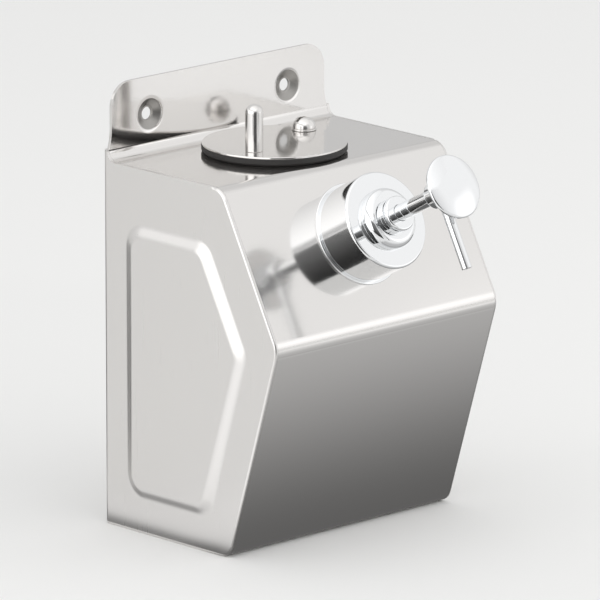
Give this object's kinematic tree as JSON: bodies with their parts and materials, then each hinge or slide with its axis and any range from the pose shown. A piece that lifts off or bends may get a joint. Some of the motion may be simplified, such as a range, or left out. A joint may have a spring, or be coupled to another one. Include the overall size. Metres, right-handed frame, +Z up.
{
  "type": "soap_dispenser",
  "caption": "Wall-hung liquid soap dispenser: folded stainless steel tank with a sloping face, swing filler lid on a rubber gasket, and a push pump with a disc button and spout tube.",
  "frame": {"origin": "On the wall plane, midway between the two wall-screw holes of the top flange.", "axes": "+Z is up, -Y is the front that faces the user, +X is to the right as seen from the front. The wall is the plane y = 0."},
  "size_m": [0.1138, 0.1318, 0.1624],
  "materials": {
    "satin_steel": "stainless steel sheet, fine satin to bright polish",
    "polished_steel": "mirror-polished stainless steel",
    "chrome_plate": "bright chrome plate on turned brass",
    "pump_brass": "plain turned brass inside the tank",
    "black_rubber": "moulded black rubber, matt",
    "white_nylon": "moulded natural nylon and polyethylene"
  },
  "bodies": {
    "housing": {"front_wrap": "satin_steel", "left_side_panel": "satin_steel", "right_side_panel": "satin_steel", "back_plate": "satin_steel", "lid_pivot_screw": "polished_steel", "lid_pivot_washer": "polished_steel", "lid_pivot_nut": "satin_steel", "seat_ring": "chrome_plate", "pump_barrel": "chrome_plate", "gland_nut": "chrome_plate", "guide_collar": "chrome_plate", "stem_packing": "black_rubber", "pump_cylinder": "pump_brass", "inner_seal_washer": "black_rubber", "lock_nut": "pump_brass", "return_spring": "polished_steel", "inlet_elbow": "white_nylon", "inlet_seal": "black_rubber", "ball_stop_pin": "polished_steel", "suction_tube": "white_nylon", "suction_strainer": "white_nylon"},
    "lid": {"filler_lid": "polished_steel", "lid_gasket": "black_rubber", "lid_grip_pin": "polished_steel"},
    "plunger": {"plunger_stem": "chrome_plate", "piston": "pump_brass", "piston_seal": "black_rubber", "spout_hub": "chrome_plate", "spout_tube": "chrome_plate", "push_button": "chrome_plate"},
    "inlet_valve": {"inlet_ball": "polished_steel"},
    "outlet_valve": {"outlet_ball": "polished_steel"}
  },
  "joints": [
    {"name": "lid_swing", "type": "hinge", "parent": "housing", "child": "lid", "pos_m": [0.02056, -0.02521, -0.0106], "axis": [0, 0, 1], "range_deg": [0, 135]},
    {"name": "pump_push", "type": "slide", "parent": "housing", "child": "plunger", "axis": [0, 0.883, -0.4693], "range_m": [0, 0.018], "stiffness_N_per_m": 350, "springref_m": -0.012, "deforming": ["return_spring"]},
    {"name": "inlet_ball_lift", "type": "slide", "parent": "housing", "child": "inlet_valve", "axis": [0, 0, 1], "range_m": [0, 0.002]},
    {"name": "outlet_ball_lift", "type": "slide", "parent": "plunger", "child": "outlet_valve", "axis": [0, -0.883, 0.4693], "range_m": [0, 0.001]}
  ]
}
